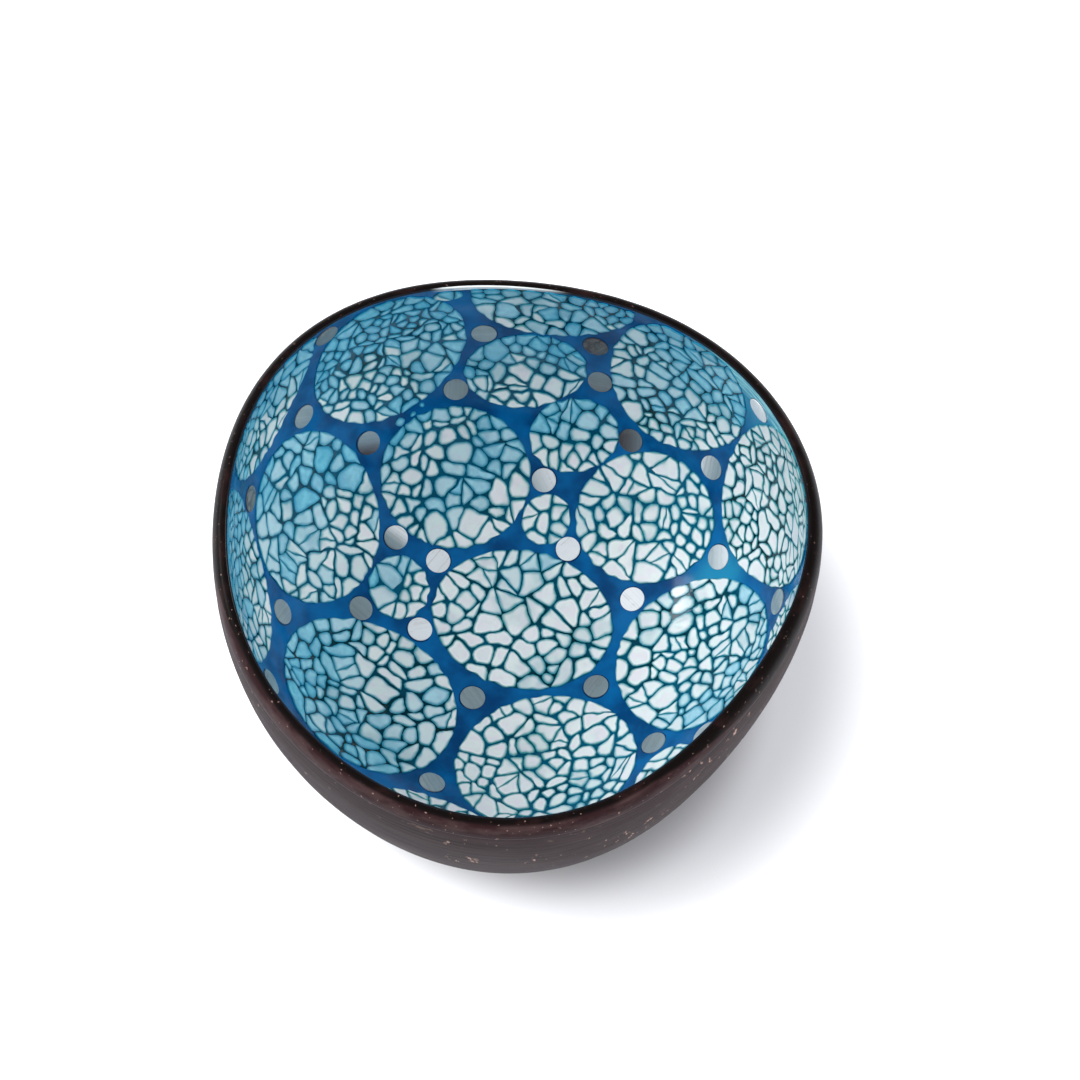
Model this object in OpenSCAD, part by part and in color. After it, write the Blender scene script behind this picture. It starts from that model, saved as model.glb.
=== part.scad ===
// Half coconut shell bowl, lined with blue lacquer and inlaid with crackled shell medallions
// and pearl discs. Millimetres, +Z up, origin at the centre of the flat foot.
// Azimuth runs anticlockwise from +X. Dip is the angle from straight down, seen from the heart,
// which is the point on the axis at the level where the nut is widest.

/* [Shell] */
// Mean radius of the nut at its widest level
shell_r = 64; // [50:1:85]
// Height from the foot to the rim
shell_h = 68; // [52:1:90]
// Drop from the rim to the widest level
belly_drop = 12; // [6:0.5:20]
// How much the wall draws in from the widest level to the rim
rim_draw = 1.3; // [0.6:0.1:3]
// Wall of the sanded shell
wall = 2.5; // [1.8:0.1:4]
// Thickness of the floor over the foot
floor_t = 3; // [2:0.1:6]
// Height of the rounded end that the flat foot sands away
foot_cut = 1; // [0.5:0.1:3]
// Squareness of the profile under the widest level, where 2 is an ellipse
belly_power = 2.4; // [2:0.1:3]

/* [Rim] */
// Height of the rounded outer edge
edge_h = 3; // [2:0.1:5]
// Flat land left along the inner side of the edge
land_w = 0.5; // [0.3:0.1:1]
// Thickness of the black lacquer coat on the edge
coat_t = 0.3; // [0.2:0.05:0.5]

/* [Lining and inlay] */
// Thickness of the blue lacquer lining
lining_t = 0.5; // [0.3:0.05:1.2]
// Blue left between two medallions that nearly touch
inlay_gap = 0.6; // [0.4:0.1:2]
// Thickness of a medallion at its middle
medallion_t = 0.5; // [0.3:0.05:1]
// Thickness of a medallion at its edge
medallion_edge_t = 0.25; // [0.15:0.05:0.3]
// Blue lining left between a medallion and the rim
rim_gap = 0.8; // [0.4:0.1:3]
// Blue left round a pearl disc
pearl_gap = 0.2; // [0.1:0.05:0.6]
// Thickness of a pearl disc
pearl_t = 0.4; // [0.2:0.05:0.8]

/* [Hidden] */
// Swells of the plan: how many go round, height as a share of the radius, azimuth of the first.
// The three are the nut's own ridges.
lobe_shares = [[2, 0.007, 107], [3, 0.032, 19], [4, 0.005, 25], [5, 0.006, -10]];

// Room for a full medallion: share of the nut's radius and share of its depth
room_shares = [0.286, 0.327];
// Room for a pearl disc, as a share of the room for a medallion
pearl_share = 0.344;

// Medallions: name, azimuth, dip, half width and half height as shares of their room, then the
// angle by which the width climbs the wall
medallion_shares = [
    ["floor", 67, 8, 1.26, 1, -7],
    ["front", 284, 36, 1.22, 1.15, 6],
    ["front_left", 206.5, 41.5, 1.19, 1.32, 29],
    ["front_right", 349.5, 48.5, 1.14, 1.27, 16],
    ["left", 153, 59.5, 1.15, 1.21, 14],
    ["inner_left", 109, 46, 1.06, 1.02, 19],
    ["inner_right", 41, 47, 1.03, 0.92, -45],
    ["inner_back", 72, 56, 0.64, 0.53, -36],
    ["small_left", 153.5, 32, 0.46, 0.43, -9],
    ["small_back", 74.5, 34.5, 0.33, 0.37, 20],
    ["back", 86.5, 71.5, 0.84, 0.64, -18],
    ["back_left", 118, 81.5, 1.05, 1.2, 34],
    ["back_right", 49.5, 82.5, 1, 1.24, 17],
    ["right", 15.5, 79.5, 1.04, 1.37, 16],
    ["back_rim", 80.5, 99.5, 1.09, 0.91, -25],
    ["back_rim_chip", 103.5, 98, 0.2, 0.13, 0],
    ["left_back_rim", 148.5, 97.5, 0.95, 1.08, 42],
    ["left_rim", 183, 82.5, 0.98, 1.17, 20],
    ["left_front_rim", 222, 84, 0.94, 0.78, 0],
    ["front_left_rim", 252, 60.5, 1, 0.81, 3],
    ["front_rim", 281, 84, 0.78, 0.72, 0],
    ["front_right_rim", 309, 62.5, 0.53, 0.78, 26],
    ["right_front_rim", 323, 92, 0.56, 0.44, 0],
    ["right_rim", 350, 78, 0.33, 0.54, -17]
];

// Pearl discs: azimuth and dip of each, from the floor to the rim
pearl_angles = [
    [236.5, 17.5], [171, 23.5], [330.5, 24.5], [130, 29], [60, 29.5], [19.5, 32.5],
    [169.5, 38.5], [137.5, 39.5], [244.5, 43.5], [78.5, 43.5], [318, 47],
    [17.5, 55], [324.5, 60], [181, 59.5], [57, 59.5], [128, 60.5], [287, 60], [229.5, 63],
    [103.5, 66], [35.5, 66.5], [202.5, 69], [68.5, 71.5], [357, 71],
    [330, 77], [139.5, 77.5], [163, 80], [70.7, 82.5], [96, 82.5], [262, 88], [303, 90],
    [30, 94.5], [130, 97]
];
// Highest dip of the discs that lie on the floor, and of those on the wall
pearl_zones = [50, 75];

// Facets round the bowl, and rows below and above the widest level
around = 72;
rows_below = 14;
rows_above = 2;
// Facets of the rounded edge
edge_steps = 4;
// Facets round a medallion, round one smaller than half size, and round a pearl disc
medallion_facets = 18;
small_facets = 12;
small_share = 0.5;
disc_facets = 32;
// Ring of points inside a medallion, and the draw of its top edge, as shares of its radius
inner_ring_share = 0.55;
top_edge_share = 0.985;
// What the inlay stands off the lining, as a share of the sag of the lining's facets
bedding_share = 1.4;
// Turn over which the slope of the inside face is measured
slope_angle = 1;

belly_z = shell_h - belly_drop;
heart = [0, 0, belly_z];
// Half width of a full medallion with its gap, from whichever of radius and depth gives less
medallion_room = min(room_shares[0] * shell_r, room_shares[1] * belly_z);
pearl_d = pearl_share * medallion_room - 2 * pearl_gap;
// Half height of the ellipse above the widest level, which gives the draw at the rim
rise = belly_drop / sqrt(1 - pow(1 - rim_draw / shell_r, 2));
// Sag of the lining's facets between their corners
facet_sag = shell_r * (2 - cos(180 / around) - cos(45 / rows_below));
bedding = bedding_share * facet_sag;
// A flat disc bridges the hollow face, so its middle stands this much higher
pearl_bridge = pow(pearl_d, 2) / (4 * shell_r);

// A face of the bowl is its inset from the outside and its depth below the widest level
outside_face = [0, belly_z + foot_cut];
inside_face = [wall, belly_z - floor_t];
function raised(face, t) = [face[0] + t, face[1] - t];
lining_face = raised(inside_face, lining_t);
bed_face = raised(lining_face, bedding);

function unit(v) = v / norm(v);
function swell(a, i = 0) =
    i == len(lobe_shares) ? 0
    : lobe_shares[i][1] * cos(lobe_shares[i][0] * (a - lobe_shares[i][2])) + swell(a, i + 1);
function plan_r(a) = shell_r * (1 + swell(a));

// Radius share and height of the profile of a face: powers of a cosine and sine below the
// widest level, then an ellipse above it
function below(face, t) =
    [pow(sin(t), 2 / belly_power), -face[1] * pow(cos(t), 2 / belly_power)];
function above(z) = [sqrt(1 - pow(z / rise, 2)), z];
// Angle of the profile at which the outside meets the foot
foot_turn = acos(pow(belly_z / outside_face[1], belly_power / 2));
function profile(face, first, top) = concat(
    [for (i = [0 : rows_below - 1]) below(face, first + (90 - first) * i / rows_below)],
    [for (i = [0 : rows_above]) above(top * i / rows_above)]);
function profile_from_pole(face, top) = concat(
    [for (i = [1 : rows_below - 1]) below(face, 90 * i / rows_below)],
    [for (i = [0 : rows_above]) above(top * i / rows_above)]);

// Ring of points for one profile point [radius share, height], drawn in by an inset
function ring(p, inset) = [
    for (i = [0 : around - 1])
        let (a = 360 * i / around, r = p[0] * (plan_r(a) - inset))
            [r * cos(a), r * sin(a), belly_z + p[1]]
];

// Section of the rounded edge, from the outer wall to the inner corner of the land: inset and
// height. It lies `deep` under the surface and feathers out at the wall.
function edge_section(deep) = concat(
    [for (i = [0 : edge_steps])
        let (t = 90 * i / edge_steps, d = i == 0 ? 0 : deep, w = wall - land_w)
            [w - (w - d) * cos(t), belly_drop - edge_h + (edge_h - d) * sin(t)]],
    [[wall, belly_drop - deep]]);
function edge_rings(deep) = [for (s = edge_section(deep)) ring(above(s[1]), s[0])];

// Triangles between two rings of n points that start at p and q
function band(p, q, n) = [
    for (i = [0 : n - 1]) let (j = (i + 1) % n)
        each [[p + i, q + i, q + j], [p + i, q + j, p + j]]
];
// Triangles from ring p to the point c
function fan(c, p, n) = [for (i = [0 : n - 1]) [c, p + i, p + (i + 1) % n]];
function flip(faces) = [for (f = faces) [for (i = [len(f) - 1 : -1 : 0]) f[i]]];
function flat(lists) = [for (l = lists) each l];
function bands(count, n) = flat([for (k = [0 : count - 2]) band(k * n, (k + 1) * n, n)]);

// Point where a line from the heart along d meets a face
function skin(d, face) =
    let (low = d.z < 0,
         power = low ? belly_power : 2,
         r = plan_r(atan2(d.y, d.x)) - face[0],
         sum = pow(norm([d.x, d.y]) / r, power) + pow(abs(d.z) / (low ? face[1] : rise), power))
    heart + d * pow(sum, -1 / power);
function toward(a, dip) = [sin(dip) * cos(a), sin(dip) * sin(a), -cos(dip)];
// Frame of the lining at a place: point, way along the azimuth, way up the wall, way inward
function seat(a, dip) =
    let (c = skin(toward(a, dip), lining_face),
         along = unit(skin(toward(a + slope_angle, dip), lining_face)
                      - skin(toward(a - slope_angle, dip), lining_face)),
         rough = skin(toward(a, dip + slope_angle), lining_face)
                 - skin(toward(a, dip - slope_angle), lining_face),
         up = unit(rough - along * (rough * along)))
    [c, along, up, cross(up, along)];

// Sanded half of the nut, with its flat foot
module shell() {
    inside = [for (p = profile_from_pole(inside_face, belly_drop - coat_t)) ring(p, wall)];
    edge = edge_rings(coat_t);
    outside = [for (p = profile(outside_face, foot_turn, belly_drop - edge_h)) ring(p, 0)];
    rings = concat(inside,
        [for (i = [len(edge) - 2 : -1 : 1]) edge[i]],
        [for (i = [len(outside) - 1 : -1 : 0]) outside[i]]);
    pole = heart - [0, 0, inside_face[1]];
    last = (len(rings) - 1) * around;
    color("#4a332c")
        polyhedron(concat(flat(rings), [pole]), concat(
            flip(bands(len(rings), around)),
            flip(fan(len(rings) * around, 0, around)),
            [[for (i = [0 : around - 1]) last + i]]));
}

// Thin black coat over the rounded cut edge
module edge_coat() {
    outer = edge_rings(0);
    inner = edge_rings(coat_t);
    rings = concat(outer, [for (i = [len(inner) - 1 : -1 : 1]) inner[i]]);
    last = (len(rings) - 1) * around;
    color("#17100f")
        polyhedron(flat(rings), concat(
            bands(len(rings), around),
            band(last, 0, around)));
}

// Blue lacquer all over the inside, up to the rim
module lacquer_lining() {
    outer = [for (p = profile_from_pole(inside_face, belly_drop - coat_t)) ring(p, wall)];
    top = [ring(above(belly_drop), wall)];
    inner = [for (p = profile_from_pole(lining_face, belly_drop)) ring(p, wall + lining_t)];
    rings = concat(outer, top, [for (i = [len(inner) - 1 : -1 : 0]) inner[i]]);
    count = len(rings);
    poles = [heart - [0, 0, inside_face[1]], heart - [0, 0, lining_face[1]]];
    color("#0a5aa0")
        polyhedron(concat(flat(rings), poles), concat(
            bands(count, around),
            fan(count * around, 0, around),
            flip(fan(count * around + 1, (count - 1) * around, around))));
}

// Medallion of cracked shell: a thin plate that follows the lining, cut off below the rim
module medallion(place) {
    s = seat(place[1], place[2]);
    half = [for (share = [place[3], place[4]]) share * medallion_room - inlay_gap / 2];
    turn = place[5];
    across = s[1] * cos(turn) + s[2] * sin(turn);
    upright = s[2] * cos(turn) - s[1] * sin(turn);
    n = place[3] < small_share ? small_facets : medallion_facets;
    room = shell_h - rim_gap - s[0].z;
    spokes = [for (i = [0 : n - 1]) let (t = 360 * i / n)
        half[0] * cos(t) * across + half[1] * sin(t) * upright];
    cut = [for (v = spokes) v.z > room ? room / v.z : 1];
    function rim_of(share, t) = [for (i = [0 : n - 1])
        skin(s[0] + share * cut[i] * spokes[i] - heart, raised(bed_face, t))];
    function middle(t) = [skin(s[0] - heart, raised(bed_face, t))];
    under = concat(middle(0), rim_of(inner_ring_share, 0), rim_of(1, 0));
    over = concat(middle(medallion_t), rim_of(inner_ring_share, medallion_t),
        rim_of(top_edge_share, medallion_edge_t));
    first = len(under);
    color("#c9d8d6")
        polyhedron(concat(under, over), concat(
            flip(fan(0, 1, n)),
            flip(band(1, 1 + n, n)),
            flip(band(1 + n, first + 1 + n, n)),
            fan(first, first + 1, n),
            band(first + 1, first + 1 + n, n)));
}

// Flat pearl discs with a dip from low up to high
module pearl_discs(low, high) {
    for (p = pearl_angles)
        if (p[1] > low && p[1] <= high) {
            s = seat(p[0], p[1]);
            c = s[0] + s[3] * (bedding + pearl_bridge);
            color("#a9b3b8")
                multmatrix([
                    [s[2].x, s[1].x, s[3].x, c.x],
                    [s[2].y, s[1].y, s[3].y, c.y],
                    [s[2].z, s[1].z, s[3].z, c.z],
                    [0, 0, 0, 1]])
                    cylinder(d = pearl_d, h = pearl_t, $fn = disc_facets);
        }
}

function medallion_node(i) = str("medallion_", medallion_shares[i][0]);

shell();
edge_coat();
lacquer_lining();
for (i = [0 : len(medallion_shares) - 1])
    medallion(medallion_shares[i]);
pearl_discs(0, pearl_zones[0]);  // pearl_discs_floor
pearl_discs(pearl_zones[0], pearl_zones[1]);  // pearl_discs_wall
pearl_discs(pearl_zones[1], 180);  // pearl_discs_rim
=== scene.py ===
"""Looks of the coconut shell bowl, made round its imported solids. Lengths are in metres.

The bowl is described from its heart, the point on the axis at the level where the nut is widest.
Azimuth runs anticlockwise from +X, and dip is the angle from straight down, seen from the heart.
"""
import math

import bpy
import numpy as np
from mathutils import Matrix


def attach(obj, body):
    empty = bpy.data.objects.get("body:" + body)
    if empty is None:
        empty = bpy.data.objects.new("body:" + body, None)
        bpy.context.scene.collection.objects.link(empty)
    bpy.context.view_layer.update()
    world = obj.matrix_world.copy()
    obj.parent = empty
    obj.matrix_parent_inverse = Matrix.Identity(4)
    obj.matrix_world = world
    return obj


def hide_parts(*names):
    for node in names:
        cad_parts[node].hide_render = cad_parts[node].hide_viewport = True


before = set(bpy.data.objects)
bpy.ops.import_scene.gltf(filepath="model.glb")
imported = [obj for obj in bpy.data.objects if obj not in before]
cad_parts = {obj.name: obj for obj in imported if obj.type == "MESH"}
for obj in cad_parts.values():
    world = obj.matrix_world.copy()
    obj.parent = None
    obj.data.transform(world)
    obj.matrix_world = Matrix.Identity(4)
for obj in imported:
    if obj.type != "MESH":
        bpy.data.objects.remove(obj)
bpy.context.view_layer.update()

MM = 0.001
rng = np.random.default_rng(64)

# The nut: sizes shared with the solids
NUT_R = 64 * MM
HEIGHT = 68 * MM
BELLY_Z = 56 * MM
BELLY_DROP = HEIGHT - BELLY_Z
RIM_DRAW = 1.3 * MM
BELLY_POWER = 2.4
RISE = BELLY_DROP / math.sqrt(1 - (1 - RIM_DRAW / NUT_R) ** 2)
FOOT_CUT = 1 * MM
WALL = 2.5 * MM
FLOOR_T = 3 * MM
LINING_T = 0.5 * MM
EDGE_H = 3 * MM
LAND = 0.5 * MM
COAT_T = 0.3 * MM
RIM_GAP = 0.8 * MM
HEART = np.array([0, 0, BELLY_Z])
# Swells of the plan: how many go round, share of the radius, azimuth of the first
LOBES = ((2, 0.007, 107), (3, 0.032, 19), (4, 0.005, 25), (5, 0.006, -10))

# Room for a full medallion, and the blue left between two
MEDALLION_ROOM = 18.3 * MM
INLAY_GAP = 0.6 * MM
PEARL_D = 5.9 * MM

# Medallions: azimuth, dip, half width and half height as shares of the room, the angle by which
# the width climbs the wall, the size of its tiles in square millimetres, then how far the glaze
# has stained the shell (0 white, 1 sea blue) and how dark and wide its cracks are
MEDALLIONS = {
    "floor": (67, 8, 1.26, 1, -7, 19, 0.12, 0.6),
    "front": (284, 36, 1.22, 1.15, 6, 15, 0.07, 0.35),
    "front_left": (206.5, 41.5, 1.19, 1.32, 29, 17, 0.54, 0.75),
    "front_right": (349.5, 48.5, 1.14, 1.27, 16, 15, 0.34, 0.6),
    "left": (153, 59.5, 1.15, 1.21, 14, 17, 0.56, 0.5),
    "inner_left": (109, 46, 1.06, 1.02, 19, 15, 0.44, 0.4),
    "inner_right": (41, 47, 1.03, 0.92, -45, 15, 0.12, 0.2),
    "inner_back": (72, 56, 0.64, 0.53, -36, 12, 0.45, 0.5),
    "small_left": (153.5, 32, 0.46, 0.43, -9, 13, 0.44, 0.35),
    "small_back": (74.5, 34.5, 0.33, 0.37, 20, 12, 0.15, 0.1),
    "back": (86.5, 71.5, 0.84, 0.64, -18, 12, 0.6, 0.4),
    "back_left": (118, 81.5, 1.05, 1.2, 34, 11, 0.9, 0.45),
    "back_right": (49.5, 82.5, 1, 1.24, 17, 13, 0.6, 0.6),
    "right": (15.5, 79.5, 1.04, 1.37, 16, 13, 0.03, 0.75),
    "back_rim": (80.5, 99.5, 1.09, 0.91, -25, 12, 1, 0.65),
    "back_rim_chip": (103.5, 98, 0.2, 0.13, 0, 8, 0.5, 0.5),
    "left_back_rim": (148.5, 97.5, 0.95, 1.08, 42, 12, 1, 0.7),
    "left_rim": (183, 82.5, 0.98, 1.17, 20, 12, 0.76, 0.75),
    "left_front_rim": (222, 84, 0.94, 0.78, 0, 13, 0.4, 0.5),
    "front_left_rim": (252, 60.5, 1, 0.81, 3, 13, 0.2, 0.5),
    "front_rim": (281, 84, 0.78, 0.72, 0, 13, 0.15, 0.5),
    "front_right_rim": (309, 62.5, 0.53, 0.78, 26, 12, 0.12, 0.5),
    "right_front_rim": (323, 92, 0.56, 0.44, 0, 12, 0.1, 0.5),
    "right_rim": (350, 78, 0.33, 0.54, -17, 10, 0.1, 0.5),
}

# Stray tiles beside a medallion: azimuth, dip and half width in millimetres
STRAYS = {"inner_left": ((112.3, 63.8, 0.9), (115, 62.3, 1.1), (118.8, 61.4, 1.5))}

# Pearl discs by node: azimuth and dip, how pale the pearl is, and how much that changes across it,
# partly the pearl's own tone and partly a painted reflection
PEARLS = {
    "pearl_discs_floor": (
        (236.5, 17.5, 0.4, 0.08), (171, 23.5, 0.95, 0.1), (330.5, 24.5, 0.3, 0.08),
        (130, 29, 0.9, 0.15), (60, 29.5, 0.95, 0.05), (19.5, 32.5, 0.95, 0.1),
        (169.5, 38.5, 0.35, 0.1), (137.5, 39.5, 0.62, 0.75), (244.5, 43.5, 0.45, 0.1),
        (78.5, 43.5, 0.75, 0.3), (318, 47, 0.3, 0.1)),
    "pearl_discs_wall": (
        (17.5, 55, 0.68, 0.25), (324.5, 60, 0.5, 0.15), (181, 59.5, 0.35, 0.1),
        (57, 59.5, 0.12, 0.2), (128, 60.5, 0.25, 0.5), (287, 60, 0.5, 0.1),
        (229.5, 63, 0.4, 0.1), (103.5, 66, 0.3, 0.1), (35.5, 66.5, 0.55, 0.35),
        (202.5, 69, 0.3, 0.1), (68.5, 71.5, 0.22, 0.1), (357, 71, 0.4, 0.1)),
    "pearl_discs_rim": (
        (330, 77, 0.5, 0.1), (139.5, 77.5, 0.4, 0.15), (163, 80, 0.1, 0.1),
        (70.7, 82.5, 0.02, 0.15), (96, 82.5, 0.38, 0.1), (262, 88, 0.6, 0.1),
        (303, 90, 0.4, 0.1), (30, 94.5, 0.95, 0.05), (130, 97, 0.2, 0.1)),
}

# Camera: height above the horizon, distance from the middle of the mouth, lens and shift
CAMERA_RISE = 63
CAMERA_FAR = 350 * MM
LENS = 57.07
SENSOR = 36
SHIFT = (0.0269, -0.0157)


# ---------------------------------------------------------------- shape of the nut
def plan_r(a):
    """Radius of the nut at azimuth a: the mean radius times one plus a sum of cosines."""
    swell = sum(s * np.cos(n * (a - math.radians(first))) for n, s, first in LOBES)
    return NUT_R * (1 + swell)


def below(depth, t):
    """Profile under the widest level: powers of the sine and cosine of t."""
    return np.sin(t) ** (2 / BELLY_POWER), -depth * np.cos(t) ** (2 / BELLY_POWER)


def above(z):
    """Profile above the widest level: an ellipse."""
    return np.sqrt(1 - (z / RISE) ** 2), z


def on_face(d, inset, depth):
    """Where lines from the heart along d meet a face: d divided by its own power norm, whose
    half axes are the plan radius less the inset, and the depth below or the rise above."""
    low = d[..., 2] < 0
    power = np.where(low, BELLY_POWER, 2)
    flat = np.hypot(d[..., 0], d[..., 1]) / (plan_r(np.arctan2(d[..., 1], d[..., 0])) - inset)
    tall = np.abs(d[..., 2]) / np.where(low, depth, RISE)
    reach = (flat ** power + tall ** power) ** (-1 / power)
    return HEART + d * reach[..., None]


def on_lining(d, lift=0.0):
    """Points on the inside of the lining along d, lifted into the bowl."""
    return on_face(d, WALL + LINING_T + lift, BELLY_Z - FLOOR_T - LINING_T - lift)


def toward(azimuth, dip):
    a, b = math.radians(azimuth), math.radians(dip)
    return np.array([math.sin(b) * math.cos(a), math.sin(b) * math.sin(a), -math.cos(b)])


def unit(v):
    return v / np.linalg.norm(v)


def seat(azimuth, dip):
    """Place on the lining: the point, the way up the wall, the way along it, the way inward."""
    point = on_lining(toward(azimuth, dip))
    along = unit(on_lining(toward(azimuth + 1, dip)) - on_lining(toward(azimuth - 1, dip)))
    up = on_lining(toward(azimuth, dip + 1)) - on_lining(toward(azimuth, dip - 1))
    up = unit(up - along * (up @ along))
    return point, up, along, np.cross(up, along)


def ripple(points, wave, seed, count=7):
    """Smooth unevenness from -1 to 1: the mean of sines of random slant and phase."""
    r = np.random.default_rng(seed)
    way = r.normal(size=(count, points.shape[-1]))
    way *= (2 * math.pi / wave) / np.linalg.norm(way, axis=1)[:, None]
    phase = r.uniform(0, 2 * math.pi, count)
    return np.sin(points @ way.T + phase).mean(-1) * 1.6


# ---------------------------------------------------------------- meshes
def piece(name, points, faces, node, finishes, finish_of=None, smooth=True, fields=None):
    """A finished piece at the origin with its finishes, drawn in place of the node, which is
    hidden.
    """
    mesh = bpy.data.meshes.new(name)
    mesh.from_pydata(np.asarray(points).reshape(-1, 3).tolist(), [], faces)
    for finish in finishes:
        mesh.materials.append(finish)
    if finish_of is not None:
        mesh.polygons.foreach_set("material_index", np.asarray(finish_of, np.int32))
    mesh.polygons.foreach_set("use_smooth", np.full(len(mesh.polygons), smooth))
    for key, values in (fields or {}).items():
        mesh.attributes.new(key, "FLOAT", "POINT").data.foreach_set(
            "value", np.asarray(values, np.float32).ravel())
    mesh.update()
    made = bpy.data.objects.new(name, mesh)
    bpy.context.scene.collection.objects.link(made)
    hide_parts(node)
    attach(made, "root")
    return made


def quads(rows, cols, first=0, wrap=False):
    """Faces of a tube of rows of points that each go all the way round."""
    i = np.arange(rows if wrap else rows - 1)[:, None]
    j = np.arange(cols)[None, :]
    k, right, over = i * cols, (j + 1) % cols, (i + 1) % rows * cols
    return (first + np.stack([k + j, k + right, over + right, over + j], -1)).reshape(-1, 4)


def turned(shares, insets, heights, cols):
    """Rings of points round the axis: each has a share of the plan radius less an inset."""
    a = np.linspace(0, 2 * math.pi, cols, endpoint=False)
    r = shares[:, None] * (plan_r(a)[None, :] - insets[:, None])
    z = np.broadcast_to(heights[:, None], r.shape)
    return np.stack([r * np.cos(a), r * np.sin(a), z], -1)


def between_poles(rings, low, high):
    """A closed skin: rings of points, with a fan to a pole before the first and after the last."""
    rows, cols = rings.shape[:2]
    j = np.arange(cols)
    last = (rows - 1) * cols
    pole = rows * cols
    points = np.vstack([rings.reshape(-1, 3), low, high])
    faces = quads(rows, cols).tolist()
    faces += np.stack([np.full(cols, pole), (j + 1) % cols, j], -1).tolist()
    faces += np.stack([np.full(cols, pole + 1), last + j, last + (j + 1) % cols], -1).tolist()
    return points, faces


def edge_section(deep, steps):
    """Rounded edge of the shell, from the outer wall to the inner corner of its flat land. It
    lies deep under the surface and starts in it: insets, and heights over the widest level."""
    t = np.linspace(0, math.pi / 2, steps)
    d = np.where(t > 0, deep, 0)
    w = WALL - LAND
    inset = np.append(w - (w - d) * np.cos(t), WALL)
    z = np.append(BELLY_DROP - EDGE_H + (EDGE_H - d) * np.sin(t), BELLY_DROP - deep)
    return inset, z


FURROW, FURROW_WAVE = 0.05 * MM, 1.3 * MM
DENT, DENT_WAVE = 0.1 * MM, 9 * MM
COAT_DIP, COAT_WAVE = 0.06 * MM, 7 * MM


def make_shell(finish):
    """The sanded half nut. Its outside is the profile turned round the axis, less fine furrows
    that run round it, and less shallow dents."""
    rows, cols = 300, 240
    depth = BELLY_Z + FOOT_CUT
    first = math.acos((BELLY_Z / depth) ** (BELLY_POWER / 2))
    low_s, low_z = below(depth, np.linspace(first, math.pi / 2, rows)[:-1])
    top_s, top_z = above(np.linspace(0, BELLY_DROP - EDGE_H, 44))
    out_s, out_z = np.append(low_s, top_s), np.append(low_z, top_z)
    foot = np.linspace(0, 1, 14)[1:-1]
    edge_i, edge_z = edge_section(COAT_T, 8)
    in_s, in_z = below(BELLY_Z - FLOOR_T, np.linspace(math.pi / 2, 0, 30)[:-1])
    shares = np.concatenate([foot * out_s[0], out_s, above(edge_z[1:])[0], in_s])
    insets = np.concatenate([0 * foot, 0 * out_s, edge_i[1:], np.full(in_s.size, WALL)])
    heights = np.concatenate([0 * foot + out_z[0], out_z, edge_z[1:], in_z]) + BELLY_Z
    rings = turned(shares, insets, heights, cols)
    outside = slice(foot.size + 1, foot.size + out_s.size - 1)
    skin = rings[outside]
    stretched = skin / np.array([20 * FURROW_WAVE, 20 * FURROW_WAVE, FURROW_WAVE])
    furrows = 0.5 + 0.5 * ripple(stretched, 1.0, 3, 14)
    dents = np.clip(ripple(skin, DENT_WAVE, 5, 12), 0, 1)
    row = np.arange(len(skin))
    fade = np.clip(np.minimum(row, row[::-1]) / 12, 0, 1)[:, None]
    less = 1 - fade * (FURROW * furrows + DENT * dents) / NUT_R
    rings[outside, :, :2] *= less[..., None]
    points, faces = between_poles(rings, [0, 0, 0], [0, 0, FLOOR_T])
    return piece("coconut_shell", points, faces, "shell", [finish])


def make_rim(finish):
    """Black coat over the cut edge: the edge's section, doubled back at the coat's depth."""
    out_i, out_z = edge_section(0, 22)
    in_i, in_z = edge_section(COAT_T, 8)
    insets = np.concatenate([out_i, in_i[:0:-1]])
    heights = np.concatenate([out_z, in_z[:0:-1]])
    rings = turned(above(heights)[0], insets, heights + BELLY_Z, 480)
    wavy = COAT_DIP * ripple(rings, COAT_WAVE, 11, 10)
    wavy[0] = wavy[out_i.size - 1:] = 0
    rings[..., 2] -= np.abs(wavy)
    return piece("black_rim", rings, quads(*rings.shape[:2], wrap=True).tolist(),
                 "edge_coat", [finish])


def make_lining(finish):
    """Blue lacquer all over the inside: out along the shell, over a rounded lip, back down."""
    cols = 300
    depth = BELLY_Z - FLOOR_T
    t = np.linspace(0, math.pi / 2, 40)[1:-1]
    out_s, out_z = below(depth, t)
    lip = np.linspace(0, math.pi, 13)
    lip_i = WALL + LINING_T / 2 * (1 - np.cos(lip))
    lip_z = BELLY_DROP - LINING_T / 2 * (1 - np.sin(lip))
    wall_z = np.linspace(0, BELLY_DROP - LINING_T / 2, 24)[:-1]
    in_s, in_z = below(depth - LINING_T, np.linspace(math.pi / 2, 0, 190)[1:-1])
    shares = np.concatenate([out_s, above(wall_z)[0], above(lip_z)[0],
                             above(wall_z[::-1])[0], in_s])
    insets = np.concatenate([0 * out_s + WALL, 0 * wall_z + WALL, lip_i,
                             0 * wall_z + WALL + LINING_T, 0 * in_s + WALL + LINING_T])
    heights = np.concatenate([out_z, wall_z, lip_z, wall_z[::-1], in_z]) + BELLY_Z
    rings = turned(shares, insets, heights, cols)
    points, faces = between_poles(rings, [0, 0, FLOOR_T], [0, 0, FLOOR_T + LINING_T])
    return piece("blue_lining", points, faces, "lacquer_lining", [finish])


# ---------------------------------------------------------------- cracked shell
# What the glaze and the tiles stand proud of the lining, and what the glaze is drawn in
BED_LIFT = 0.12 * MM
TILE_LIFT = 0.27 * MM
BED_INSET = 0.22 * MM
# Longest side of the glaze's outline and of a tile's, and how far and how often a tile bends
BED_STEP = 1.6 * MM
TILE_STEP = 1.3 * MM
BEND, BEND_WAVE = 0.3 * MM, 4.2 * MM
# Half widths of the long cracks and of the hairlines, and the least size of a tile
LONG_CRACK = 0.17 * MM
HAIRLINE = 0.05 * MM
LEAST_TILE = 0.8 * MM ** 2
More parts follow.
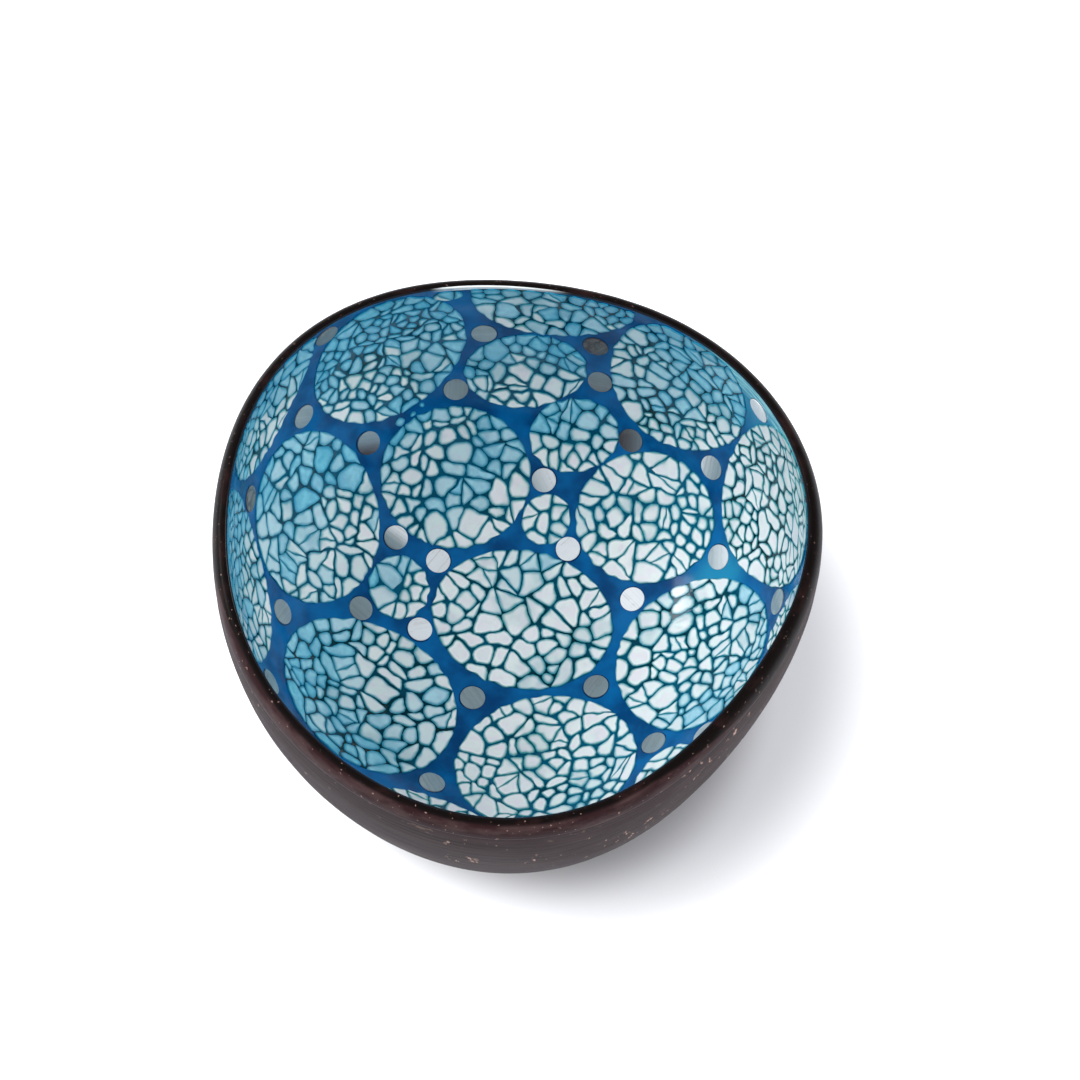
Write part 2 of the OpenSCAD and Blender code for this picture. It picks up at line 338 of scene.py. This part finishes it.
# Tiles to a plate, and the side that is too short to keep
PLATE_TILES = 6
SHORT_SIDE = 0.12 * MM
# Slope of a tile, how far it stands out from the rest, its rounded edge and the rings inside it
TILE_SLOPE = 0.014
TILE_RISE = 0.02 * MM
EDGE_DROP = 0.07 * MM
RING_INSETS = np.array([0.1, 0.5, 1.1]) * MM
# How the stain changes: towards the top of a medallion, and in clouds of a size
STAIN_CLIMB = 0.75
STAIN_CLOUD, STAIN_WAVE = 0.3, 24 * MM


def clip(shape, point, normal):
    """The part of a convex outline on the far side of a line: each side that crosses the line
    is cut where it does."""
    side = (shape - point) @ normal
    after = np.roll(side, -1)
    keep = side >= 0
    cross = keep != (after >= 0)
    if keep.all():
        return shape
    share = (side / np.where(cross, side - after, 1))[:, None]
    cut = shape + (np.roll(shape, -1, 0) - shape) * share
    both = np.stack([shape, cut], 1).reshape(-1, 2)
    return both[np.stack([keep, cross], 1).ravel()]


def area(shape):
    x, y = shape.T
    return 0.5 * abs(x @ np.roll(y, -1) - y @ np.roll(x, -1))


def scatter(shape, count, r):
    """Random points inside an outline that keep away from each other: of many drawn, each next
    one is that which lies furthest from those before it, with some luck mixed in."""
    low, high = shape.min(0), shape.max(0)
    drawn = r.uniform(low, high, (count * 30 + 60, 2))
    nxt = np.roll(shape, -1, 0) - shape
    rel = drawn[:, None, :] - shape[None]
    inside = (nxt[None, :, 0] * rel[..., 1] - nxt[None, :, 1] * rel[..., 0] > 0).all(1)
    drawn = drawn[inside]
    if len(drawn) < 2:
        return shape.mean(0)[None]
    luck = r.uniform(0.35, 1, len(drawn))
    chosen = [0]
    far = np.linalg.norm(drawn - drawn[0], axis=1)
    for _ in range(min(count, len(drawn)) - 1):
        k = int(np.argmax(far * luck))
        chosen.append(k)
        far = np.minimum(far, np.linalg.norm(drawn - drawn[k], axis=1))
    return drawn[chosen]


def cells(shape, seeds, gap, r):
    """Each seed's share of an outline: what is left after a cut half way to every other seed."""
    made = []
    for k, seed in enumerate(seeds):
        others = np.delete(seeds, k, 0)
        others = others[np.argsort(np.linalg.norm(others - seed, axis=1))]
        left = shape
        for other in others:
            way = seed - other
            length = np.linalg.norm(way)
            if length / 2 > np.linalg.norm(left - seed, axis=1).max():
                break
            way = way / length
            left = clip(left, (seed + other) / 2 + way * gap * r.uniform(0.55, 1.3), way)
            if len(left) < 3:
                break
        if len(left) >= 3:
            made.append(left)
    return made


def rounded(shape, size):
    """An outline with its corners rounded: each becomes two points on its sides, and one
    between them that is drawn nearly halfway to the corner."""
    side = np.roll(shape, -1, 0) - shape
    length = np.linalg.norm(side, axis=1)
    shape = shape[length > SHORT_SIDE]
    if len(shape) < 3:
        return None
    side = np.roll(shape, -1, 0) - shape
    length = np.linalg.norm(side, axis=1)
    way = side / length[:, None]
    cut = np.minimum(size, 0.46 * length)[:, None]
    after = shape + way * cut
    before = shape - np.roll(way * cut, 1, 0)
    middle = 0.28 * (before + after) + 0.44 * shape
    return np.stack([before, middle, after], 1).reshape(-1, 2)


def refined(shape, step):
    """An outline whose sides are split into lengths no longer than a step."""
    side = np.roll(shape, -1, 0) - shape
    parts = np.maximum(np.ceil(np.linalg.norm(side, axis=1) / step), 1).astype(int)
    which = np.repeat(np.arange(len(shape)), parts)
    share = (np.arange(parts.sum()) - np.repeat(np.cumsum(parts) - parts, parts)) / parts[which]
    return shape[which] + side[which] * share[:, None]


def tiles_of(outline, size, wide, r):
    """Crushed shell: the outline breaks into plates, and each plate into tiles of about a size,
    so that long cracks run past short ones. Wide scales the short ones. A few tiles are split
    once more by a hairline."""
    plates = scatter(outline, max(1, round(area(outline) / (PLATE_TILES * size))), r)
    made = []
    for plate in cells(outline, plates, LONG_CRACK, r):
        count = max(1, round(area(plate) / (size * r.uniform(0.6, 1.5))))
        gap = (r.uniform(0.07, 0.17) + (r.uniform() < 0.15) * 0.13) * wide * MM
        for tile in cells(plate, scatter(plate, count, r), gap, r):
            halves = [tile]
            if area(tile) > size and r.uniform() < 0.2:
                turn = r.uniform(0, math.pi)
                way = np.array([math.cos(turn), math.sin(turn)])
                middle = tile.mean(0)
                halves = [clip(tile, middle + side * HAIRLINE * way, side * way)
                          for side in (-1, 1)]
            for half in halves:
                if area(half) > LEAST_TILE:
                    corner = 0.4 if len(halves) > 1 else r.uniform(0.7, 1.9)
                    shape = rounded(half, corner * MM)
                    if shape is not None:
                        made.append(shape)
    return made


def stray(spot, size, seed):
    """A loose tile round a spot: five corners at uneven distances, rounded."""
    r = np.random.default_rng(seed)
    t = (np.arange(5) + r.uniform(-0.2, 0.2, 5)) * 0.4 * math.pi
    reach = size * r.uniform(0.85, 1.15, 5)
    return rounded(spot + reach[:, None] * np.stack([np.cos(t), np.sin(t)], -1), 0.6 * MM)


def make_medallion(name, azimuth, dip, wide, tall, turn, size, stain, dark, finishes):
    """A medallion: a bed of glaze that follows the lining, and tiles of shell set in it. Outlines
    are drawn on the plane that touches the lining, and carried to it along lines from the heart.
    Every tile slopes a little, and its rim rises from the lining in five rings. The glaze has
    stained the tiles more towards the top of a medallion, with luck and clouds mixed in."""
    r = np.random.default_rng(list(MEDALLIONS).index(name) + 100)
    point, up, along, inward = seat(azimuth, dip)
    half = np.array([tall, wide]) * MEDALLION_ROOM - INLAY_GAP / 2
    room = HEIGHT - RIM_GAP - point[2]

    def carried(uv, lift):
        return on_lining(point + uv[..., :1] * up + uv[..., 1:] * along - HEART, lift)

    t = np.linspace(0, 2 * math.pi, 64, endpoint=False)
    c, s = math.cos(math.radians(turn)), math.sin(math.radians(turn))
    outline = np.stack([half[0] * np.cos(t), half[1] * np.sin(t)], -1)
    outline = outline @ np.array([[c, -s], [s, c]])
    slope = np.array([up[2], along[2]])
    if np.linalg.norm(slope) > 0:
        outline = clip(outline, slope * room / (slope @ slope), -slope)
    bed = refined(outline, BED_STEP) * (1 - BED_INSET / half.max())
    n = len(bed)
    shares = np.array([1, 1, 0.985, 0.88, 0.76, 0.64, 0.52, 0.4, 0.28, 0.14])
    rows = shares.size
    lifts = np.array([0, 0.6] + [1] * (rows - 2)) * BED_LIFT
    rings = carried(bed[None] * shares[:, None, None], lifts[:, None])
    points = [rings.reshape(-1, 3), carried(np.zeros((1, 2)), BED_LIFT)]
    faces = quads(rows, n).tolist()
    j, last = np.arange(n), (rows - 1) * n
    faces += np.stack([last + j, last + (j + 1) % n, np.full(n, rows * n)], -1).tolist()
    bed_points = rows * n + 1
    bed_faces = len(faces)
    inside = [np.zeros(bed_points)]
    wash = [np.full(bed_points, dark)]
    shade = [np.zeros(bed_points)]
    start = bed_points
    tiles = tiles_of(outline, size * MM ** 2, 0.7 + 0.6 * dark, r)
    for seed, (side, low, reach) in enumerate(STRAYS.get(name, ())):
        way = toward(side, low)
        spot = HEART + way * ((point - HEART) @ inward) / (way @ inward) - point
        tiles.append(stray(np.array([spot @ up, spot @ along]), reach * MM, seed))
    for tile in tiles:
        tile = refined(tile, TILE_STEP)
        bend = [ripple(tile, BEND_WAVE, seed, 6) for seed in (21, 22)]
        tile = tile + BEND * np.stack(bend, -1)
        middle = tile.mean(0)
        m = len(tile)
        spread = tile - middle
        reach = np.linalg.norm(spread, axis=1)[:, None]
        edges = [tile, tile] + [middle + spread * np.maximum(1 - inset / reach, 0.35)
                                for inset in RING_INSETS]
        tilt = r.normal(0, TILE_SLOPE, 2)
        top = TILE_LIFT + r.normal(0, TILE_RISE)
        drops = (TILE_LIFT, EDGE_DROP, 0, 0, 0)
        ring = np.concatenate([carried(edge, top - drop + (edge - middle) @ tilt)
                               for edge, drop in zip(edges, drops)])
        points.append(ring)
        faces += quads(5, m, start).tolist()
        faces.append(list(range(start + 4 * m, start + 5 * m)))
        inside.append(np.repeat([0.0, 0.05, 0.2, 0.6, 1.0], m))
        here = point + middle[0] * up + middle[1] * along
        cloud = STAIN_CLOUD * ripple(here[None], STAIN_WAVE, 31, 6)[0]
        luck = r.normal(0, 0.03 + 0.17 * stain)
        stained = stain * (1 + STAIN_CLIMB * middle[0] / half[0]) + cloud + luck
        wash.append(np.full(5 * m, np.clip(stained, 0, 1)))
        shade.append(np.full(5 * m, r.uniform(0, 1)))
        start += 5 * m
    finish_of = np.ones(len(faces), int)
    finish_of[:bed_faces] = 0
    return piece("crackle_" + name, np.vstack(points), faces,
                 "medallion_" + name, finishes, finish_of=finish_of, smooth=False,
                 fields={"inside": np.concatenate(inside), "wash": np.concatenate(wash),
                         "shade": np.concatenate(shade)})


def make_pearls(node, places, finishes):
    """Punched discs of pearl: a flat round top with a softened edge, in a dark blue ring of
    painted shadow.
    From the foot of the ring to the flat top, each circle has a radius and a height."""
    n = 56
    t = np.linspace(0, 2 * math.pi, n, endpoint=False)
    round_ = np.stack([np.cos(t), np.sin(t)], -1)
    radii = PEARL_D / 2 - np.array([-0.32, -0.30, 0, 0, 0.03, 0.10, 0.9]) * MM
    lifts = np.array([-0.15, 0.06, 0.09, 0.26, 0.31, 0.33, 0.34]) * MM
    rows = radii.size
    points, faces, shade, grain, finish_of = [], [], [], [], []
    for k, (azimuth, dip, pale, tone_and_reflection_change) in enumerate(places):
        point, up, along, inward = seat(azimuth, dip)
        spin = rng.uniform(0, 2 * math.pi)
        tilt = rng.normal(0, 0.012, 2)
        flat = radii[:, None, None] * round_
        lift = lifts[:, None] + flat @ tilt
        rings = point + flat[..., :1] * up + flat[..., 1:] * along + lift[..., None] * inward
        first = k * rows * n
        points.append(rings.reshape(-1, 3))
        faces += quads(rows, n, first).tolist()
        faces.append(list(range(first + (rows - 1) * n, first + rows * n)))
        faces.append(list(range(first + n - 1, first - 1, -1)))
        finish_of += [1] * (2 * n) + [0] * ((rows - 3) * n + 1) + [1]
        across = flat @ np.array([math.cos(spin), math.sin(spin)])
        # Painted reflection, partly real tone: a disc grows paler towards one side and darker
        # towards the other.
        shade.append((pale + tone_and_reflection_change * across / PEARL_D).ravel())
        grain.append((across / MM + 20 * k).ravel())
    return piece("pearl_" + node.removeprefix("pearl_"), np.vstack(points), faces, node,
                 finishes, finish_of=finish_of, smooth=False,
                 fields={"shade": np.concatenate(shade), "grain": np.concatenate(grain)})


# ---------------------------------------------------------------- finishes
class Value:
    """A socket that gives a number or a colour. Sums on it add Math nodes to its shading."""

    def __init__(self, shading, socket):
        self.shading, self.socket = shading, socket

    def __add__(self, other): return self.shading.math("ADD", self, other)
    def __mul__(self, other): return self.shading.math("MULTIPLY", self, other)
    def __sub__(self, other): return self.shading.math("SUBTRACT", self, other)
    def __rsub__(self, other): return self.shading.math("SUBTRACT", other, self)
    __radd__, __rmul__ = __add__, __mul__

    def step(self, low, high):
        """0 at low and 1 at high, with a smooth rise between. Low may be above high."""
        return self.shading.node("MapRange", {"interpolation_type": "SMOOTHSTEP"},
                                 {0: self, 1: low, 2: high, 3: 0.0, 4: 1.0})


class Shading:
    """Nodes of a material or of the room."""

    def __init__(self, tree):
        self.nodes, self.links = tree.nodes, tree.links

    def put(self, socket, value):
        if isinstance(value, Value):
            self.links.new(value.socket, socket)
        elif isinstance(value, (tuple, list)) and socket.type == "RGBA":
            socket.default_value = (*value, 1)
        else:
            socket.default_value = value

    def node(self, kind, settings=None, inputs=None, output=0):
        """Any node: its type, its settings, then the values or links of its sockets."""
        made = self.nodes.new("ShaderNode" + kind)
        for key, value in (settings or {}).items():
            setattr(made, key, value)
        for key, value in (inputs or {}).items():
            self.put(made.inputs[key], value)
        return Value(self, made.outputs[output])

    def math(self, operation, a, b):
        return self.node("Math", {"operation": operation}, {0: a, 1: b})

    def place(self, *sizes):
        """Object coordinates in millimetres, divided by the given sizes."""
        spot = self.node("TexCoord", output="Object")
        return self.node("VectorMath", {"operation": "MULTIPLY"},
                         {0: spot, 1: tuple(1 / MM / size for size in sizes)})

    def along(self):
        """How far right, back and up a point lies, in millimetres."""
        spot = self.place(1, 1, 1)
        return [self.node("SeparateXYZ", {}, {0: spot}, k) for k in range(3)]

    def away(self, *spot):
        """Distance from a spot, in millimetres."""
        return self.node("VectorMath", {"operation": "DISTANCE"},
                         {0: self.place(1, 1, 1), 1: spot}, "Value")

    def noise(self, spot, detail=2.0, roughness=0.5):
        """Cloudy noise from 0 to 1."""
        return self.node("TexNoise", {}, {"Vector": spot, "Scale": 1.0, "Detail": detail,
                                          "Roughness": roughness}, "Fac")

    def field(self, name):
        return self.node("Attribute", {"attribute_name": name}, output="Fac")

    def mix(self, share, a, b):
        """Colour a where the share is 0 and b where it is 1."""
        return self.node("Mix", {"data_type": "RGBA"}, {0: share, 6: a, 7: b}, 2)

    def bump(self, height, distance):
        return self.node("Bump", {}, {"Height": height, "Distance": distance})


class Finish(Shading):
    """A material round one Principled shader."""

    def __init__(self, name):
        self.material = bpy.data.materials.new(name)
        self.material.use_nodes = True
        super().__init__(self.material.node_tree)
        self.shader = self.nodes["Principled BSDF"]

    def set(self, **sockets):
        """Sockets of the shader, named with underscores for spaces."""
        for key, value in sockets.items():
            self.put(self.shader.inputs[key.replace("_", " ")], value)
        return self.material


def coconut_finish():
    """Sanded and oiled shell with a satin gloss: brown bands that run round it, and pale flecks
    and blotches of husk."""
    f = Finish("coconut_shell")
    bands = f.noise(f.place(30, 30, 1.1), 4, 0.6)
    fine = f.noise(f.place(12, 12, 0.35), 3, 0.6)
    cloud = f.noise(f.place(17, 17, 11), 3)
    color = f.mix(bands.step(0.3, 0.7), (0.015, 0.006, 0.007), (0.034, 0.015, 0.016))
    color = f.mix(cloud.step(0.35, 0.7) * 0.7, color, (0.025, 0.011, 0.013))
    color = f.mix(fine.step(0.5, 0.72) * 0.3, color, (0.062, 0.033, 0.031))
    patch = f.noise(f.place(13, 13, 9), 2).step(0.52, 0.62)
    fleck = f.noise(f.place(1.9, 1.9, 3.4), 3, 0.65).step(0.61, 0.67) * patch
    blotch = f.noise(f.place(6, 6, 3), 5, 0.7).step(0.63, 0.70)
    color = f.mix(blotch * 0.35, color, (0.26, 0.17, 0.14))
    color = f.mix(fleck * 0.9, color, (0.46, 0.30, 0.24))
    normal = f.bump(bands * 0.5 + fine * 0.4 - fleck * 0.5, 0.09 * MM)
    return f.set(Base_Color=color, Roughness=0.42 + cloud * 0.16, Normal=normal,
                 Specular_IOR_Level=0.12, Coat_Weight=0.03, Coat_Roughness=0.25)


def rim_finish():
    """Black lacquer, thick at the sides and back. At the front it is worn down to a thin line
    along the lining, and the brown that shows there is partly the shell and partly a painted
    highlight along the rounded edge. It has small pale specks."""
    f = Finish("black_lacquer")
    worn = f.noise(f.place(9, 9, 2.2), 4, 0.6)
    grain = f.noise(f.place(0.8, 0.8, 0.5), 2)
    right, back, height = f.along()
    thick = (back + right * 0.32).step(-48, -6)
    color = f.mix(worn.step(0.5, 0.72) * 0.6, (0.005, 0.003, 0.003), (0.030, 0.010, 0.010))
    # At the front the brown is partly the shell under a thin coat and partly a painted highlight
    # along the rounded edge of the rim.
    thin = (height + worn * 0.3 + thick * 3.5).step(68.12, 67.75)
    brown = f.mix(worn.step(0.4, 0.65), (0.026, 0.010, 0.012), (0.058, 0.032, 0.033))
    color = f.mix(thin, color, brown)
    specks = grain.step(0.68, 0.74) * (0.9 - thick * 0.5)
    color = f.mix(specks, color, (0.30, 0.19, 0.16))
    return f.set(Base_Color=color, Roughness=0.36 + worn * 0.12, Specular_IOR_Level=0.14,
                 Normal=f.bump(grain, 0.03 * MM), Coat_Weight=0.06, Coat_Roughness=0.12)


def blue_finish():
    """Clear bright blue lacquer in brushed clouds, with a dark lip and painted light: a painted
    sheen with pale painted glints under the right of the rim, a painted highlight in a bright line
    under the back of it, and a painted reflection in a thin azure spot low on the right."""
    f = Finish("blue_lacquer")
    cloud = f.noise(f.place(8, 8, 8), 3)
    streak = f.noise(f.place(5, 5, 2.2), 4, 0.6)
    color = f.mix(cloud.step(0.3, 0.7), (0.001, 0.050, 0.165), (0.001, 0.122, 0.345))
    color = f.mix(streak.step(0.55, 0.8) * 0.3, color, (0.004, 0.18, 0.40))
    right, back, height = f.along()
    glint = f.noise(f.place(7, 7, 0.45), 2)
    # Painted reflection: a hazy azure patch low on the right wall, where the window light is
    # mirrored.
    away = f.away(*on_lining(toward(12, 53)) / MM)
    azure = (away + cloud * 10).step(16, 8) * 0.8
    color = f.mix(azure, color, (0.020, 0.27, 0.46))
    # Painted sheen: a lighter turquoise band on the right wall under the rim, with pale painted
    # glints in streaks near its top.
    beside = right.step(36, 48) * back.step(6, 18)
    color = f.mix(beside * height.step(46, 60) * 0.7, color, (0.006, 0.26, 0.42))
    glow = height.step(60, 64) * (0.3 + glint.step(0.5, 0.57) * 0.7)
    color = f.mix(beside * glow, color, (0.36, 0.80, 0.85))
    color = f.mix(height.step(67.45, 67.7), color, (0.010, 0.012, 0.016))
    # Painted highlight: a thin bright line along the lip at the back of the bowl.
    line = (height + glint * 0.8).step(66.9, 67.1) * glint.step(0.32, 0.36)
    back_highlight_span = back.step(56, 59) * right.step(-18, -14) * right.step(14, 9)
    color = f.mix(line * back_highlight_span, color, (0.85, 0.92, 0.94))
    return f.set(Base_Color=color, Roughness=0.5, Specular_IOR_Level=0.0,
                 Normal=f.bump(cloud, 0.12 * MM), Coat_Weight=0.75, Coat_Roughness=0.12)


def glaze_finish():
    """Sea green glaze in the cracks, from teal to nearly black."""
    f = Finish("crack_glaze")
    cloud = f.noise(f.place(7, 7, 7), 2)
    share = (f.field("wash") + (cloud - 0.5) * 1.4).step(0.15, 1.0)
    color = f.mix(share, (0.001, 0.090, 0.165), (0.001, 0.020, 0.024))
    return f.set(Base_Color=color, Roughness=0.5, Specular_IOR_Level=0.0, Coat_Weight=1.0,
                 Coat_Roughness=0.06)


def shell_finish():
    """Pearly shell tiles: white with a green cast where the glaze has soaked in from the edge."""
    f = Finish("crackled_shell")
    inside, wash, shade = f.field("inside"), f.field("wash"), f.field("shade")
    cloud = f.noise(f.place(1.7, 1.7, 1.7), 3, 0.6)
    tint = f.noise(f.place(2.6, 2.6, 2.6), 1)
    pearl = f.mix(tint.step(0.35, 0.65), (0.80, 0.78, 0.82), (0.78, 0.85, 0.83))
    pearl = f.mix(cloud.step(0.45, 0.75) * 0.25 + shade.step(0.6, 1.0) * 0.4, pearl,
                  (0.56, 0.66, 0.66))
    pearl = f.mix((1 - inside.step(0.55, 1.0)) * 0.7 + shade * 0.3, pearl, (0.93, 0.95, 0.96))
    stained = f.mix(cloud.step(0.3, 0.7), (0.055, 0.47, 0.65), (0.18, 0.70, 0.86))
    stained = f.mix(wash.step(0.65, 0.25), stained, (0.32, 0.64, 0.60))
    color = f.mix(wash.step(0.1, 1.0) * (0.95 - 0.2 * shade), pearl, stained)
    soaked = f.noise(f.place(9, 9, 9), 2).step(0.48, 0.68)
    soak = (1 - inside.step(0.1, soaked * 0.45 + wash * 0.55 + 0.82)) * (0.75 + cloud * 0.5)
    edge = f.mix(wash, (0.013, 0.275, 0.305), (0.008, 0.26, 0.45))
    color = f.mix(soak, color, edge)
    return f.set(Base_Color=color, Roughness=0.34 - inside * 0.06,
                 Normal=f.bump(cloud, 0.012 * MM), Coat_Weight=1.0, Coat_Roughness=0.05)


def pearl_finish():
    """Mother-of-pearl: silver grey to brown, with fine streaks across each disc. How pale a disc
    is changes across it, partly its own tone and partly a painted reflection.
    """
    f = Finish("pearl")
    shade, grain = f.field("shade"), f.field("grain")
    line = f.node("CombineXYZ", {}, {0: grain * 1.6, 1: f.noise(f.place(2.5, 2.5, 2.5)) * 1.5})
    streak = f.noise(line, 3, 0.6)
    color = f.mix(shade.step(0.0, 0.4), (0.075, 0.055, 0.050), (0.26, 0.34, 0.37))
    color = f.mix(shade.step(0.4, 0.95), color, (0.90, 0.92, 0.94))
    color = f.mix(streak.step(0.4, 0.7) * 0.3 * shade, color, (0.62, 0.66, 0.66))
    color = f.mix((1 - streak.step(0.3, 0.5)) * 0.35, color, (0.20, 0.19, 0.18))
    return f.set(Base_Color=color, Roughness=0.24, Metallic=0.25 - shade * 0.2,
                 Normal=f.bump(streak, 0.01 * MM), Coat_Weight=1.0, Coat_Roughness=0.05)


def ring_finish():
    """Painted shadow: a dark blue ring round the pearl discs."""
    f = Finish("painted_disc_shadow")
    return f.set(Base_Color=(0.001, 0.030, 0.100), Roughness=0.5, Specular_IOR_Level=0.0,
                 Coat_Weight=1.0, Coat_Roughness=0.06)


def floor_finish():
    """White paper, with a painted shadow that makes it darker close under the bowl. Where the
    camera sees it, a painted glow lights it up to white beyond a ring round the bowl, so that the
    bowl's shadow shows only inside it."""
    f = Finish("white_floor")
    camera = f.node("LightPath", output="Is Camera Ray")
    # Painted shadow: darker paper within 44 to 58 mm of a spot near the axis. Painted light:
    # camera-only emission whitens the floor from 51 to 80 mm out from a spot right of the bowl,
    # which ends the shadow there.
    under, beyond = f.away(6, -6, 0).step(44, 58), f.away(19, 2, 0).step(51, 80)
    paper = f.mix(under, (0.33, 0.33, 0.35), (0.68, 0.69, 0.73))
    glow = f.mix(beyond * camera, (0, 0, 0), (1, 1, 1))
    return f.set(Base_Color=paper, Roughness=0.9, Specular_IOR_Level=0.0,
                 Emission_Color=glow, Emission_Strength=0.6)


# ---------------------------------------------------------------- the bowl
make_shell(coconut_finish())
make_rim(rim_finish())
make_lining(blue_finish())
shell_inlay = [glaze_finish(), shell_finish()]
for medallion, facts in MEDALLIONS.items():
    make_medallion(medallion, *facts, shell_inlay)
pearl_in_ring = [pearl_finish(), ring_finish()]
for node, places in PEARLS.items():
    make_pearls(node, places, pearl_in_ring)


# ---------------------------------------------------------------- floor, light and camera
def make_floor(size=3.0):
    mesh = bpy.data.meshes.new("floor")
    mesh.from_pydata([(-size, -size, 0), (size, -size, 0), (size, size, 0), (-size, size, 0)],
                     [], [(0, 1, 2, 3)])
    mesh.materials.append(floor_finish())
    floor = bpy.data.objects.new("floor", mesh)
    bpy.context.scene.collection.objects.link(floor)


def aim(thing, place, target):
    """Puts a lamp or the camera at a place and turns it to a target."""
    way = np.array(target) - np.array(place)
    flat = math.hypot(way[0], way[1])
    thing.location = place
    thing.rotation_euler = (math.atan2(flat, -way[2]), 0, math.atan2(-way[0], way[1]))


def lamp(name, azimuth, rise, size, power, mirrored, far=0.9, middle=(0, 0, 0.05)):
    """A square lamp that looks at the middle of the bowl from afar. Not every one is mirrored."""
    light = bpy.data.lights.new(name, "AREA")
    light.shape, light.size, light.energy = "SQUARE", size, power
    thing = bpy.data.objects.new(name, light)
    bpy.context.scene.collection.objects.link(thing)
    a, e = math.radians(azimuth), math.radians(rise)
    way = np.array([math.cos(e) * math.cos(a), math.cos(e) * math.sin(a), math.sin(e)])
    aim(thing, np.array(middle) + far * way, middle)
    thing.visible_glossy = mirrored


make_floor()
lamp("key_light", azimuth=168, rise=49, size=0.6, power=6.2, mirrored=False)
lamp("fill_light", azimuth=-14, rise=34, size=0.6, power=4.4, mirrored=False)
lamp("window_light", azimuth=160, rise=30, size=0.28, power=1.0, mirrored=True)


def make_room(level=0.87, walls=0.17, ceiling=0.04):
    """Pale room: white where the camera sees it, and in reflections grey to the sides and dim
    overhead. It lights the bowl evenly."""
    world = bpy.data.worlds.new("room")
    bpy.context.scene.world = world
    world.use_nodes = True
    room = Shading(world.node_tree)
    up = room.node("SeparateXYZ", {}, {0: room.node("TexCoord", output="Generated")}, 2)
    sides = up.step(0.65, 0.30) * (walls - ceiling) + ceiling
    camera, mirror, through = (room.node("LightPath", output=f"Is {ray} Ray")
                               for ray in ("Camera", "Glossy", "Transmission"))
    strength = (sides - level) * room.math("MAXIMUM", mirror, through) + level
    background = room.nodes["Background"].inputs
    room.put(background["Color"], (1, 1, 1))
    room.put(background["Strength"], room.math("MAXIMUM", strength, camera))


make_room()

lens = bpy.data.cameras.new("camera")
lens.lens, lens.sensor_width = LENS, SENSOR
lens.shift_x, lens.shift_y = SHIFT
lens.clip_start = 0.01
camera = bpy.data.objects.new("camera", lens)
bpy.context.scene.collection.objects.link(camera)
mouth = np.array([0, 0, HEIGHT])
rise = math.radians(CAMERA_RISE)
aim(camera, mouth + CAMERA_FAR * np.array([0, -math.cos(rise), math.sin(rise)]), mouth)
bpy.context.scene.camera = camera
bpy.context.scene.view_settings.view_transform = "Standard"
